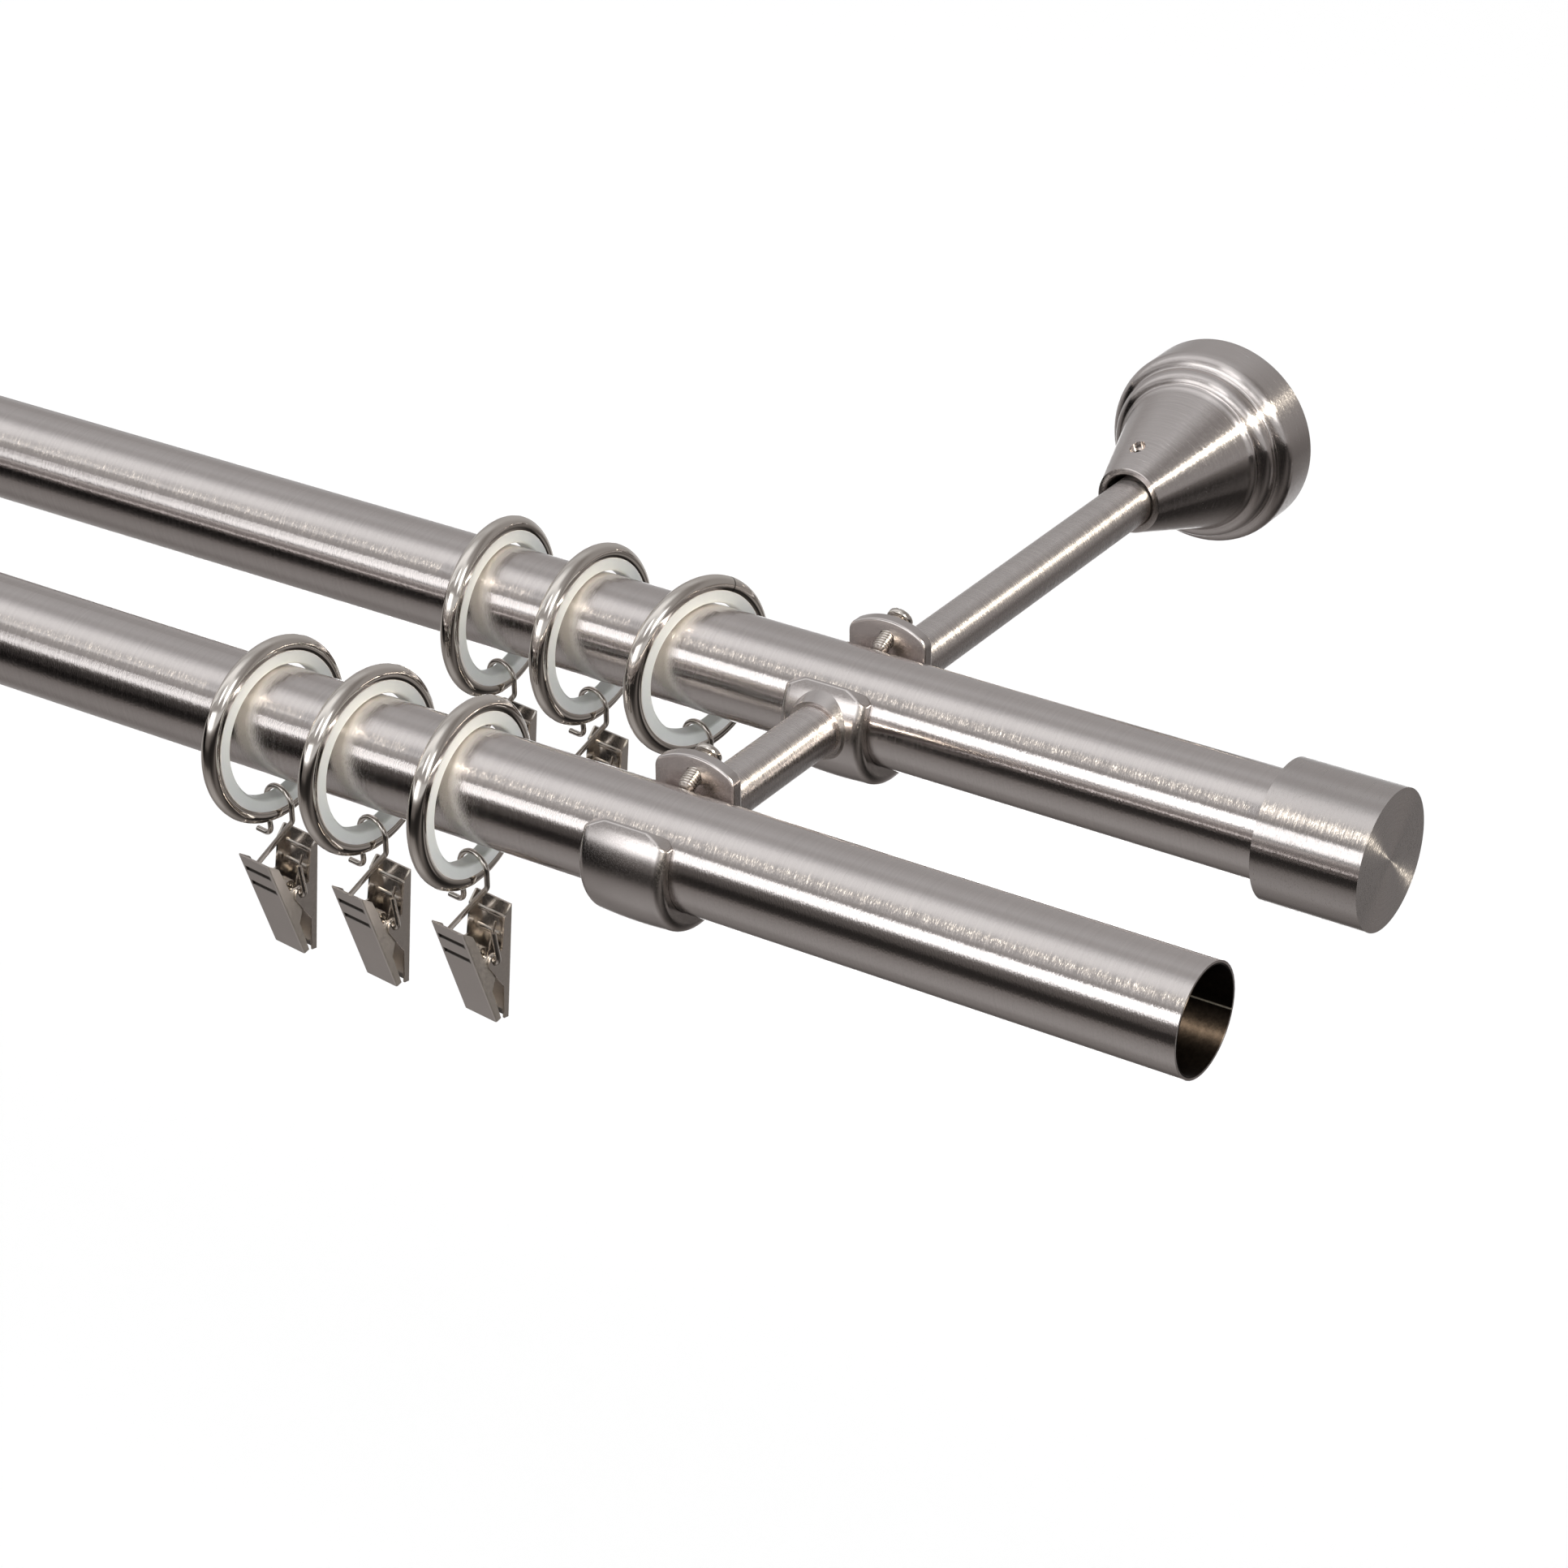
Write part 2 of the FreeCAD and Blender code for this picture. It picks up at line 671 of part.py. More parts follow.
def ring_set(prefix, place, yaw, axis_y):
    """One ring with its liner, hook, clip and spring, hung on a pole."""
    centre = Vector(bracket_x - place, axis_y, -ring_drop)
    eye = centre - Z * (ring_radius - eye_lift)
    pin = Vector(clip_middle(), 0, pin_height())

    def hang(shape):
        return moved(turned(shape, yaw, Z), centre.x, centre.y, centre.z)

    def hook_on(shape):
        return moved(turned(shape, hook_yaw, Z), eye.x, eye.y, eye.z)

    def clip_on(shape):
        return hook_on(moved(turned(shape, clip_tilt, X), pin.x, pin.y, pin.z))

    save(prefix, hang(ring()))
    save(prefix + "_liner", hang(ring_liner()))
    save(prefix + "_hook", hook_on(clip_hook()))
    save(prefix + "_front_jaw", clip_on(front_jaw()))
    save(prefix + "_rear_jaw", clip_on(rear_jaw()))
    save(prefix + "_spring", clip_on(clip_spring()))
    print(prefix, "eye", eye, "pin", eye + pin)


def bracket(side_name, x, flip):
    """Everything that one wall bracket is made of."""
    def put(name, shape, y=0.0):
        shape = mirrored(shape) if flip else shape
        save(side_name + "_" + name, moved(shape, x, y))

    rosette_at = rosette_centre()
    put("wall_plate", wall_plate())
    put("rosette", moved(rosette(), rosette_at.x, 0, rosette_at.z))
    put("rosette_grub_screw", moved(grub_screw(), rosette_at.x, 0, rosette_at.z))
    put("rear_stem", stem(-hub_height, rear_axis_y + tab_back))
    put("rear_cradle", cradle(True), rear_axis_y)
    put("rear_lock_screw", lock_screw(), rear_axis_y)
    put("front_stem", stem(rear_axis_y - boss_end, front_axis_y + tab_back))
    put("front_cradle", cradle(False), front_axis_y)
    put("front_lock_screw", lock_screw(), front_axis_y)


os.makedirs("parts", exist_ok=True)
save("rear_pole", moved(pole(), y=rear_axis_y))
save("front_pole", moved(pole(), y=front_axis_y))
save("rear_end_cap_right", moved(end_cap(), y=rear_axis_y))
save("rear_end_cap_left", moved(mirrored(end_cap()), y=rear_axis_y))
bracket("right", bracket_x, False)
bracket("left", -bracket_x, True)
for number, (place, yaw) in enumerate(zip(front_ring_places, front_ring_yaws), 1):
    ring_set("front_ring_" + str(number), place, yaw, front_axis_y)
for number, (place, yaw) in enumerate(zip(rear_ring_places, rear_ring_yaws), 1):
    ring_set("rear_ring_" + str(number), place, yaw, rear_axis_y)
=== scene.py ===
import json
import math

import bmesh
import bpy
from mathutils import Matrix, Vector


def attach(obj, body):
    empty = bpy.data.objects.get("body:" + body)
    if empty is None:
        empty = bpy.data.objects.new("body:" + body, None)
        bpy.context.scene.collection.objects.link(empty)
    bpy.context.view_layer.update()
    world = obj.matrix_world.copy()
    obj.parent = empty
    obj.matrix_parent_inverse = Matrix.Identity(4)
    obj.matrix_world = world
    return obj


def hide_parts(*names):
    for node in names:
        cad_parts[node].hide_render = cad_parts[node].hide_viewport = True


mm = 0.001

# Camera, matched to the photograph
camera_place = Vector((921.08, -889.78, 440.99)) * mm
camera_right = Vector((0.8357467, 0.5491046, -0.0034059))
camera_up = Vector((-0.26088278, 0.40251068, 0.87745389))
camera_back = Vector((0.48318488, -0.73244064, 0.47964891))
camera_lens = 96.953
camera_sensor = 36.0
camera_near = 0.01
camera_far = 50

# Sizes taken over from the solids, in mm and degrees
bracket_x = 469.0
rear_axis_y = -175.0
front_axis_y = -252.5
tube_bore = 11.6
ring_places = {"front": (105.6, 78.7, 50.5), "rear": (100.4, 73.4, 43.5)}
pin_height = -43.95
hook_yaw = -8.0
clip_tilt = 7.0
jaw_half_angle = 12.0


def make_camera():
    data = bpy.data.cameras.new("camera")
    data.lens = camera_lens
    data.sensor_width = camera_sensor
    data.sensor_fit = "HORIZONTAL"
    data.clip_start = camera_near
    data.clip_end = camera_far
    camera = bpy.data.objects.new("camera", data)
    bpy.context.collection.objects.link(camera)
    turn = Matrix((camera_right, camera_up, camera_back)).transposed().to_4x4()
    camera.matrix_world = Matrix.Translation(camera_place) @ turn
    bpy.context.scene.camera = camera


make_camera()
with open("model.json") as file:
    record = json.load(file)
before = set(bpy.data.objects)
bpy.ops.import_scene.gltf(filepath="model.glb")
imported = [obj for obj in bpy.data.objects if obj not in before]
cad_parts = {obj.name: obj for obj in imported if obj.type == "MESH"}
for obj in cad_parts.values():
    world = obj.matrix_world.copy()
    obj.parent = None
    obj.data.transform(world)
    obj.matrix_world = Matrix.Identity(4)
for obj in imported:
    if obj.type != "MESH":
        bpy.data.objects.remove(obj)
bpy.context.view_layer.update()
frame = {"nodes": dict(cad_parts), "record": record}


def ring_pins():
    """The name of each ring and the middle of its clip's pin."""
    for row, axis_y in (("front", front_axis_y), ("rear", rear_axis_y)):
        for number, place in enumerate(ring_places[row], 1):
            yield row + "_ring_" + str(number), Vector((bracket_x - place, axis_y, pin_height))


# Nodes of the materials

def new_material(name):
    material = bpy.data.materials.new(name)
    material.use_nodes = True
    return material, material.node_tree, material.node_tree.nodes["Principled BSDF"]


def object_place(tree):
    return tree.nodes.new("ShaderNodeTexCoord").outputs["Object"]


def split_up(tree, vector):
    """The three parts of a vector."""
    split = tree.nodes.new("ShaderNodeSeparateXYZ")
    tree.links.new(vector, split.inputs["Vector"])
    return split.outputs["X"], split.outputs["Y"], split.outputs["Z"]


def calculated(tree, operation, first, second=0.0):
    """A math node; each side is a socket or a number."""
    node = tree.nodes.new("ShaderNodeMath")
    node.operation = operation
    for socket, value in zip(node.inputs, (first, second)):
        if isinstance(value, (int, float)):
            socket.default_value = value
        else:
            tree.links.new(value, socket)
    return node.outputs["Value"]


def away_from(tree, value, middle):
    """How far a value is from a fixed one, on either side."""
    return calculated(tree, "ABSOLUTE", calculated(tree, "SUBTRACT", value, middle))


def noise(tree, vector, scale, detail):
    texture = tree.nodes.new("ShaderNodeTexNoise")
    texture.inputs["Scale"].default_value = scale
    texture.inputs["Detail"].default_value = detail
    tree.links.new(vector, texture.inputs["Vector"])
    return texture.outputs["Fac"]


def ramped(tree, value, low, high, start=0.3, end=0.7):
    """The value moved from start..end to low..high."""
    spread = tree.nodes.new("ShaderNodeMapRange")
    spread.inputs["From Min"].default_value = start
    spread.inputs["From Max"].default_value = end
    spread.inputs["To Min"].default_value = low
    spread.inputs["To Max"].default_value = high
    tree.links.new(value, spread.inputs["Value"])
    return spread.outputs["Result"]


def tinted(tree, factor, first, second):
    """A colour between two; each is a socket or a colour."""
    tint = tree.nodes.new("ShaderNodeMix")
    tint.data_type = "RGBA"
    tree.links.new(factor, tint.inputs["Factor"])
    for key, value in (("A", first), ("B", second)):
        if isinstance(value, tuple):
            tint.inputs[key].default_value = value + (1,)
        else:
            tree.links.new(value, tint.inputs[key])
    return tint.outputs["Result"]


def blended(tree, factor, first, second):
    """A value between two; each is a socket or a number."""
    mix = tree.nodes.new("ShaderNodeMix")
    mix.data_type = "FLOAT"
    tree.links.new(factor, mix.inputs["Factor"])
    for key, value in (("A", first), ("B", second)):
        if isinstance(value, float):
            mix.inputs[key].default_value = value
        else:
            tree.links.new(value, mix.inputs[key])
    return mix.outputs["Result"]


def shaded(colour, factor):
    return tuple(min(1.0, part * factor) for part in colour)


def bumped(tree, shader, height, depth, strength):
    bump = tree.nodes.new("ShaderNodeBump")
    bump.inputs["Distance"].default_value = depth
    bump.inputs["Strength"].default_value = strength
    tree.links.new(height, bump.inputs["Height"])
    tree.links.new(bump.outputs["Normal"], shader.inputs["Normal"])


def lathe_place(tree, axis, centre):
    """Distance along an axis and from it, the angle round it and the height, for turned metal.
    The axis X runs along a pole at y = centre, the axis Y along the stems at x = centre on both sides."""
    x, y, z = split_up(tree, object_place(tree))
    if axis == "X":
        along = x
        side = calculated(tree, "SUBTRACT", y, centre * mm)
    else:
        along = y
        side = calculated(tree, "SUBTRACT", calculated(tree, "ABSOLUTE", x), centre * mm)
    flat = tree.nodes.new("ShaderNodeCombineXYZ")
    tree.links.new(side, flat.inputs["X"])
    tree.links.new(z, flat.inputs["Y"])
    length = tree.nodes.new("ShaderNodeVectorMath")
    length.operation = "LENGTH"
    tree.links.new(flat.outputs["Vector"], length.inputs[0])
    return along, length.outputs["Value"], calculated(tree, "ARCTAN2", z, side), z


def lined_noise(tree, along, radius, height, scale, drift, detail):
    """Noise that is fine along the axis and across the radius, and slower round it."""
    joined = tree.nodes.new("ShaderNodeCombineXYZ")
    for key, value, stretch in (("X", along, scale), ("Y", radius, scale), ("Z", height, drift)):
        tree.links.new(calculated(tree, "MULTIPLY", value, stretch), joined.inputs[key])
    return noise(tree, joined.outputs["Vector"], 1.0, detail)


# Brushed metal: its fine lines, its glinting grain and its clouds
line_drift = 14.0
line_detail = 4.0
line_shades = (0.92, 1.08)
grain_finer = 1.8
grain_drift = 1800.0
grain_detail = 1.0
glint_roughness = 0.1
glint_range = (0.52, 0.72)
cloud_scale = 60.0
cloud_share = 0.12
cloud_shade = 0.8

# The unpolished bore of a tube, darkened further with painted shade, and its weld seam
bore_edge = (0.3, 0.4)
bore_roughness = 0.6
iron_scale = 900.0
# Colours of the bore: dark iron, made darker still with painted shade of the hollow
iron_shade_colours = ((0.008, 0.006, 0.005), (0.05, 0.038, 0.03))
seam_angle = -15.5
seam_edge = (0.008, 0.022)
seam_colour = (0.95, 0.9, 0.8)


def bore_iron_shade(tree, turn):
    """Dark rough iron, with painted shade of the hollow bore in its colour, and the bright weld seam."""
    speckle = noise(tree, object_place(tree), iron_scale, 4.0)
    # Iron colour with painted shade of the bore
    iron = tinted(tree, speckle, *iron_shade_colours)
    weld = ramped(tree, away_from(tree, turn, math.radians(seam_angle)), 1.0, 0.0, *seam_edge)
    return tinted(tree, weld, iron, seam_colour)


def brushed(name, axis, centre, colour, roughness, spread, depth,
            line_scale=2600.0, anisotropy=1.0, hollow=False):
    """Metal with short fine lines that run round an axis; a tube's bore is unpolished and darkened with
    painted shade.
    """
    material, tree, shader = new_material(name)
    shader.inputs["Metallic"].default_value = 1.0
    shader.inputs["Anisotropic"].default_value = anisotropy
    shader.inputs["Anisotropic Rotation"].default_value = 0.25
    tangent = tree.nodes.new("ShaderNodeTangent")
    tangent.direction_type = "RADIAL"
    tangent.axis = axis
    tree.links.new(tangent.outputs["Tangent"], shader.inputs["Tangent"])
    along, radius, turn, height = lathe_place(tree, axis, centre)
    lines = lined_noise(tree, along, radius, height, line_scale, line_drift, line_detail)
    grain = lined_noise(tree, along, radius, height, line_scale * grain_finer, grain_drift, grain_detail)
    cloud = noise(tree, object_place(tree), cloud_scale, 2.0)
    dull = ramped(tree, lines, roughness - spread, roughness + spread)
    dull = calculated(tree, "ADD", dull, ramped(tree, grain, 0.0, glint_roughness, *glint_range))
    tint = tinted(tree, lines, shaded(colour, line_shades[0]), shaded(colour, line_shades[1]))
    tint = tinted(tree, ramped(tree, cloud, 0.0, cloud_share), tint, shaded(colour, cloud_shade))
    if hollow:
        edge = [(tube_bore + wall) * mm for wall in bore_edge]
        inside = ramped(tree, radius, 1.0, 0.0, *edge)
        # Inside the bore the colour is dark iron with painted shade
        tint = tinted(tree, inside, tint, bore_iron_shade(tree, turn))
        dull = calculated(tree, "MAXIMUM", dull, calculated(tree, "MULTIPLY", inside, bore_roughness))
    tree.links.new(dull, shader.inputs["Roughness"])
    tree.links.new(tint, shader.inputs["Base Color"])
    bumped(tree, shader, grain, depth, 1.0)
    return material


def tumbled(name, colour, roughness, grain, spread, strength, depth=0.00001):
    """Metal with an even fine grain, as it comes from a tumbler."""
    material, tree, shader = new_material(name)
    shader.inputs["Metallic"].default_value = 1.0
    speckle = noise(tree, object_place(tree), grain, 3.0)
    cloud = noise(tree, object_place(tree), grain / 12, 2.0)
    dull = ramped(tree, speckle, roughness - spread, roughness + spread)
    tree.links.new(dull, shader.inputs["Roughness"])
    tint = tinted(tree, cloud, shaded(colour, 0.94), shaded(colour, 1.05))
    tree.links.new(tint, shader.inputs["Base Color"])
    bumped(tree, shader, speckle, depth, strength)
    return material


def overlaid(material, factor, colour):
    """Puts a colour over the material's own where the factor is 1."""
    tree = material.node_tree
    socket = tree.nodes["Principled BSDF"].inputs["Base Color"]
    tree.links.new(tinted(tree, factor, socket.links[0].from_socket, colour), socket)


# The line where the wire of one ring closes, by its angle about the rear pole
split_angle = 56.3
split_edge = (0.006, 0.011)
split_colour = (0.02, 0.018, 0.015)


def split_ring(name, colour, roughness):
    """The ring's metal with the dark line where its wire closes."""
    material = tumbled(name, colour, roughness, 900.0, 0.02, 0.3)
    tree = material.node_tree
    turn = lathe_place(tree, "X", rear_axis_y)[2]
    gap = ramped(tree, away_from(tree, turn, math.radians(split_angle)), 1.0, 0.0, *split_edge)
    overlaid(material, gap, split_colour)
    return material


# The pressed grooves of the front jaws, measured from the clip's pin, and the painted shade that darkens them
groove_half = 4.15
groove_heights = (8.9, 4.3)
groove_edge = (0.6, 0.85)
groove_end = 0.1
groove_face = (-4.7, -4.65)
# Colour of the painted shade in the grooves
groove_shade_colour = (0.1, 0.092, 0.085)


def pressed_jaw(name, colour, roughness, pin):
    """Satin plate whose two pressed groove lines are darkened with painted shade; the plate leans about the
    clip's pin.
    """
    material = tumbled(name, colour, roughness, 1500.0, 0.05, 0.4)
    tree = material.node_tree
    local = tree.nodes.new("ShaderNodeMapping")
    local.vector_type = "TEXTURE"
    local.inputs["Location"].default_value = pin * mm
    lean = math.radians(clip_tilt + jaw_half_angle)
    local.inputs["Rotation"].default_value = (lean, 0, math.radians(hook_yaw))
    tree.links.new(object_place(tree), local.inputs["Vector"])
    x, y, z = split_up(tree, local.outputs["Vector"])
    side = calculated(tree, "ABSOLUTE", x)
    inside = ramped(tree, side, 1.0, 0.0, (groove_half - groove_end) * mm, (groove_half + groove_end) * mm)
    outer = ramped(tree, y, 1.0, 0.0, *(depth * mm for depth in groove_face))
    groove_shade = 0.0
    for height in groove_heights:
        away = away_from(tree, z, height * mm)
        line = ramped(tree, away, 1.0, 0.0, *(width * mm for width in groove_edge))
        groove_shade = calculated(tree, "MAXIMUM", line, groove_shade)
    groove_shade = calculated(tree, "MULTIPLY", groove_shade, calculated(tree, "MULTIPLY", inside, outer))
    # Painted shade laid over the pressed grooves
    overlaid(material, groove_shade, groove_shade_colour)
    return material


def plastic(name, colour):
    """Milky plastic that lets a little light through."""
    material, tree, shader = new_material(name)
    cloud = noise(tree, object_place(tree), 500.0, 3.0)
    tint = tinted(tree, cloud, shaded(colour, 0.95), shaded(colour, 1.02))
    tree.links.new(tint, shader.inputs["Base Color"])
    shader.inputs["Roughness"].default_value = 0.38
    shader.inputs["Specular IOR Level"].default_value = 0.3
    shader.inputs["Subsurface Weight"].default_value = 0.6
    shader.inputs["Subsurface Radius"].default_value = (0.0022, 0.0024, 0.0021)
    shader.inputs["Subsurface Scale"].default_value = 0.6
    bumped(tree, shader, cloud, 0.00002, 0.3)
    return material


# Materials of the part

nickel = (0.63, 0.59, 0.578)
bright_nickel = (0.74, 0.695, 0.65)
jaw_nickel = (0.69, 0.65, 0.63)
plated_steel = (0.55, 0.54, 0.52)
liner_white = (0.66, 0.68, 0.665)

front_tube_metal = brushed("front_tube_metal", "X", front_axis_y, nickel, 0.13, 0.03, 0.00002, hollow=True)
rear_tube_metal = brushed("rear_tube_metal", "X", rear_axis_y, nickel, 0.13, 0.03, 0.00002, hollow=True)
cap_metal = brushed("cap_metal", "X", rear_axis_y, shaded(nickel, 0.9), 0.18, 0.04, 0.000012, 2200.0)
stem_metal = brushed("stem_metal", "Y", bracket_x, nickel, 0.27, 0.05, 0.00004, anisotropy=0.95)
rosette_metal = brushed("rosette_metal", "Y", bracket_x, nickel, 0.16, 0.02, 0.00001)
spring_metal = tumbled("spring_metal", bright_nickel, 0.14, 1500.0, 0.04, 0.3)
screw_metal = tumbled("screw_metal", shaded(bright_nickel, 0.9), 0.1, 1200.0, 0.04, 0.3)

slot_materials = {
    "satin_nickel": front_tube_metal,
    "turned_nickel": rosette_metal,
    "cap_nickel": cap_metal,
    "cast_nickel": tumbled("cast_metal", shaded(nickel, 0.94), 0.21, 2600.0, 0.05, 0.6),
    "plated_steel": tumbled("plate_metal", plated_steel, 0.4, 1500.0, 0.08, 0.2, 0.00003),
    "screw_steel": screw_metal,
    "ring_nickel": tumbled("ring_metal", bright_nickel, 0.05, 900.0, 0.02, 0.3),
    "hook_nickel": tumbled("hook_metal", bright_nickel, 0.12, 1200.0, 0.03, 0.3),
    "jaw_nickel": tumbled("jaw_metal", shaded(bright_nickel, 0.94), 0.17, 1500.0, 0.04, 0.4),
    "spring_steel": spring_metal,
    "liner_plastic": plastic("liner_plastic", liner_white),
}

# Pieces that differ from the rest of their slot
node_materials = {
    "rear_pole": rear_tube_metal,
    "rear_ring_3": split_ring("split_ring_metal", bright_nickel, 0.05),
}
for side in ("right", "left"):
    for row in ("rear", "front"):
        node_materials[side + "_" + row + "_stem"] = stem_metal
for base, pin in ring_pins():
    node_materials[base + "_front_jaw"] = pressed_jaw(base + "_jaw_metal", jaw_nickel, 0.38, pin)


def dress(obj, material):
    if not obj.material_slots:
        obj.data.materials.append(material)
    for slot in obj.material_slots:
        slot.material = material


node_slots = {part["node"]: part["material_slot"] for part in frame["record"]["subparts"]}
for node, obj in frame["nodes"].items():
    dress(obj, node_materials.get(node, slot_materials[node_slots[node]]))


# Meshes of the pieces that are made here, in mm

def skin(mesh, rows):
    """Faces between rows of points that each go once round."""
    for low, high in zip(rows, rows[1:]):
        for step in range(len(low)):
            after = (step + 1) % len(low)
            mesh.faces.new((low[step], low[after], high[after], high[step]))


def closed(mesh, rows):
    """Faces over the two ends of a skin."""
    mesh.faces.new(list(reversed(rows[0])))
    mesh.faces.new(rows[-1])


def add_lathe(mesh, profile, steps, twist=None):
    """A solid round +Z from points (radius, height); twist gives the radius from the height and the turn."""
    rows = []
    for radius, height in profile:
        row = []
        for step in range(steps):
            angle = 2 * math.pi * step / steps
            size = twist(height, step / steps) if twist else radius
            row.append(mesh.verts.new((size * math.cos(angle), size * math.sin(angle), height)))
        rows.append(row)
    skin(mesh, rows)
    closed(mesh, rows)


def object_from(mesh, name):
    data = bpy.data.meshes.new(name)
    mesh.to_mesh(data)
    mesh.free()
    obj = bpy.data.objects.new(name, data)
    bpy.context.collection.objects.link(obj)
    return obj


def cut_by(obj, cutter):
    """The cutter's shape taken out of the object; the cutter goes."""
    cut = obj.modifiers.new("cut", "BOOLEAN")
    cut.operation = "DIFFERENCE"
    cut.object = cutter
    cut.solver = "EXACT"
    graph = bpy.context.evaluated_depsgraph_get()
    obj.data = bpy.data.meshes.new_from_object(obj.evaluated_get(graph))
    obj.modifiers.clear()
    bpy.data.objects.remove(cutter)


def facing(direction):
    """The turn that brings +Z to a direction."""
    return direction.to_track_quat("Z", "Y").to_matrix().to_4x4()


def placed(obj, place, turn, material, sharp=None):
    """Turns and moves a made piece to its place, in metres, and shades it smooth up to a sharp angle."""
    obj.data.transform(Matrix.Scale(mm, 4) @ Matrix.Translation(place) @ turn)
    for face in obj.data.polygons:
        face.use_smooth = True
    if sharp is not None:
        obj.data.set_sharp_from_angle(angle=math.radians(sharp))
    dress(obj, material)


# Lock screws, with their real thread

lock_tip = Vector((0, 9.521, 8.632))
lock_angle = 25.0
lock_shank = 9.477
lock_radius = 2.0
lock_root = 1.5
lock_pitch = 0.7
lock_tip_radius = 1.2
lock_tip_length = 0.8
crest_height = 1.3
crest_slope = 2.6
thread_steps = 40
pitch_steps = 8
head_radius = 3.1
head_height = 2.2
head_neck = 0.9 * lock_radius
head_sunk = 0.05
head_bevel = 0.15
head_wall = 0.45 * head_height
head_steps = 48
dome_steps = 8
dome_angle = 88
slot_width = 0.9
slot_depth = 1.0
slot_length = 10


def thread_radius(height):
    """Radius of a pointed thread."""
    phase = (height / lock_pitch) % 1.0
    crest = min(1.0, max(0.0, crest_height - crest_slope * abs(phase - 0.5)))
    return lock_root + (lock_radius - lock_root) * crest


def shank_radius(height, turn):
    """Radius of the shank, which fades from its blunt tip into the thread."""
    taper = lock_tip_radius + (lock_radius - lock_tip_radius) * height / lock_tip_length
    return min(taper, thread_radius(height - turn * lock_pitch))


def threaded_shank(name):
    shank = bmesh.new()
    rows = int(lock_shank / lock_pitch * pitch_steps)
    profile = [(lock_radius, lock_shank * row / rows) for row in range(rows + 1)]
    add_lathe(shank, profile, thread_steps, shank_radius)
    return object_from(shank, name)


def slotted_head(name):
    """The domed head with its screwdriver slot."""
    head = bmesh.new()
    profile = [(head_neck, lock_shank - head_sunk), (head_radius - head_bevel, lock_shank),
               (head_radius, lock_shank + head_bevel)]
    for step in range(dome_steps + 1):
        angle = math.radians(dome_angle * step / dome_steps)
        profile.append((head_radius * math.cos(angle),
                        lock_shank + head_wall + (head_height - head_wall) * math.sin(angle)))
    add_lathe(head, profile, head_steps)
    obj = object_from(head, name)
    cutter = bmesh.new()
    bmesh.ops.create_cube(cutter, size=1.0)
    bmesh.ops.scale(cutter, vec=(slot_width, slot_length, 2 * slot_depth), verts=cutter.verts)
    bmesh.ops.translate(cutter, vec=(0, 0, lock_shank + head_height), verts=cutter.verts)
    cut_by(obj, object_from(cutter, name + "_cutter"))
    return obj


def make_lock_screw(node, x, axis_y):
    head = slotted_head(node + "_head")
    shank = threaded_shank(node + "_thread")
    turn = facing(Vector((0, math.cos(math.radians(lock_angle)), math.sin(math.radians(lock_angle)))))
    for obj in (head, shank):
        placed(obj, Vector((x, axis_y, 0)) + lock_tip, turn, screw_metal)
        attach(obj, "pole_frame")
    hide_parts(node)
    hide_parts(node)


for side, x in (("right", bracket_x), ("left", -bracket_x)):
    make_lock_screw(side + "_rear_lock_screw", x, rear_axis_y)
    make_lock_screw(side + "_front_lock_screw", x, front_axis_y)


# Rosettes, with their beads rounded

# Half section, as points (radius, depth): rim, beads and their grooves as arcs, cone, hollow behind
rosette_rim = [(22.75, 0.0), (25.2, 0.0), (25.5, 0.3)]
rosette_beads = [((21.9, 9.7), 3.6, 0, 74, 12), ((23.1, 14.0), 0.8, 252, 190, 4),
                 ((19.2, 14.6), 3.15, -8, 80, 12), ((20.0, 18.5), 0.75, 256, 190, 4)]
rosette_cone = [(18.95, 18.9), (18.6, 19.3), (18.3, 20.0), (8.7, 48.5), (8.55, 48.85), (8.2, 49.0)]
rosette_hollow = [(7.1, 49.0), (6.8, 48.7), (6.8, 9.0), (9.75, 9.0), (9.75, 6.0), (22.75, 6.0)]
rosette_shift = Vector((-0.162, 0, 0.763))
rosette_steps = 128
rosette_sharp = 28
grub_depth = 41.0
grub_angle = 12.0
grub_hole = 2.05
drill_middle = 14
drill_length = 20
drill_sides = 40


def arc_points(centre, radius, start, end, steps):
    """Points on an arc in the half section, angles from outward to away from the wall."""
    points = []
    for step in range(steps + 1):
        angle = math.radians(start + (end - start) * step / steps)
        points.append((centre[0] + radius * math.cos(angle), centre[1] + radius * math.sin(angle)))
    return points


def grub_drill(name, hand):
    """The hole of the grub screw, square to the stem."""
    drill = bmesh.new()
    bmesh.ops.create_cone(drill, cap_ends=True, segments=drill_sides, radius1=grub_hole, radius2=grub_hole,
                          depth=drill_length)
    angle = math.radians(90 + hand * grub_angle)
    outward = Vector((math.cos(angle), 0, math.sin(angle)))
    middle = outward * drill_middle + Vector((0, -grub_depth, 0))
    bmesh.ops.transform(drill, matrix=Matrix.Translation(middle) @ facing(outward), verts=drill.verts)
    return object_from(drill, name)


def turned_rosette(name, hand):
    mesh = bmesh.new()
    outline = list(rosette_rim)
    for bead in rosette_beads:
        outline += arc_points(*bead)
    outline += rosette_cone + rosette_hollow
    rows = []
    for radius, depth in outline:
        row = []
        for step in range(rosette_steps):
            angle = 2 * math.pi * step / rosette_steps
            row.append(mesh.verts.new((radius * math.cos(angle), -depth, radius * math.sin(angle))))
        rows.append(row)
    skin(mesh, rows + rows[:1])
    bmesh.ops.recalc_face_normals(mesh, faces=mesh.faces)
    obj = object_from(mesh, name)
    cut_by(obj, grub_drill(name + "_drill", hand))
    return obj


